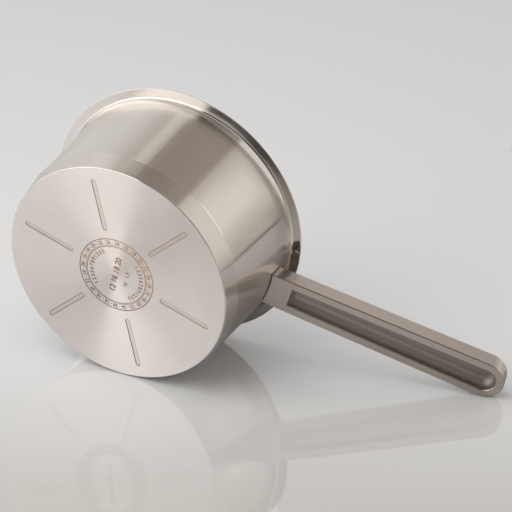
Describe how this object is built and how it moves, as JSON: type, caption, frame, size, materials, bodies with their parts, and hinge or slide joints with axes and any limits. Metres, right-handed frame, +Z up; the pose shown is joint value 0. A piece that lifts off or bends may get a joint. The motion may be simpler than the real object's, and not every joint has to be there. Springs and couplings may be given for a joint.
{
  "type": "saucepan",
  "caption": "Steel saucepan with a flat pouring rim, a deep encapsulated base with radial stamped marks, and a long round-ended bar handle troughed on its underside.",
  "frame": {"origin": "centre of the underside of the base, the face that the pot stands on", "axes": "+Z up out of the mouth, +X along the handle, away from the pot; +Y completes a right-handed frame"},
  "size_m": [0.3292, 0.178, 0.1019],
  "materials": {
    "vessel_steel": "satin, brushed round the wall",
    "core_aluminium": "as pressed, closed in",
    "base_steel": "satin, brushed in circles",
    "handle_steel": "fine matt satin",
    "weld_steel": "as welded"
  },
  "bodies": {
    "root": {"vessel": "vessel_steel", "base_core": "core_aluminium", "base_capsule": "base_steel", "handle": "handle_steel", "handle_weld": "weld_steel"}
  },
  "joints": []
}
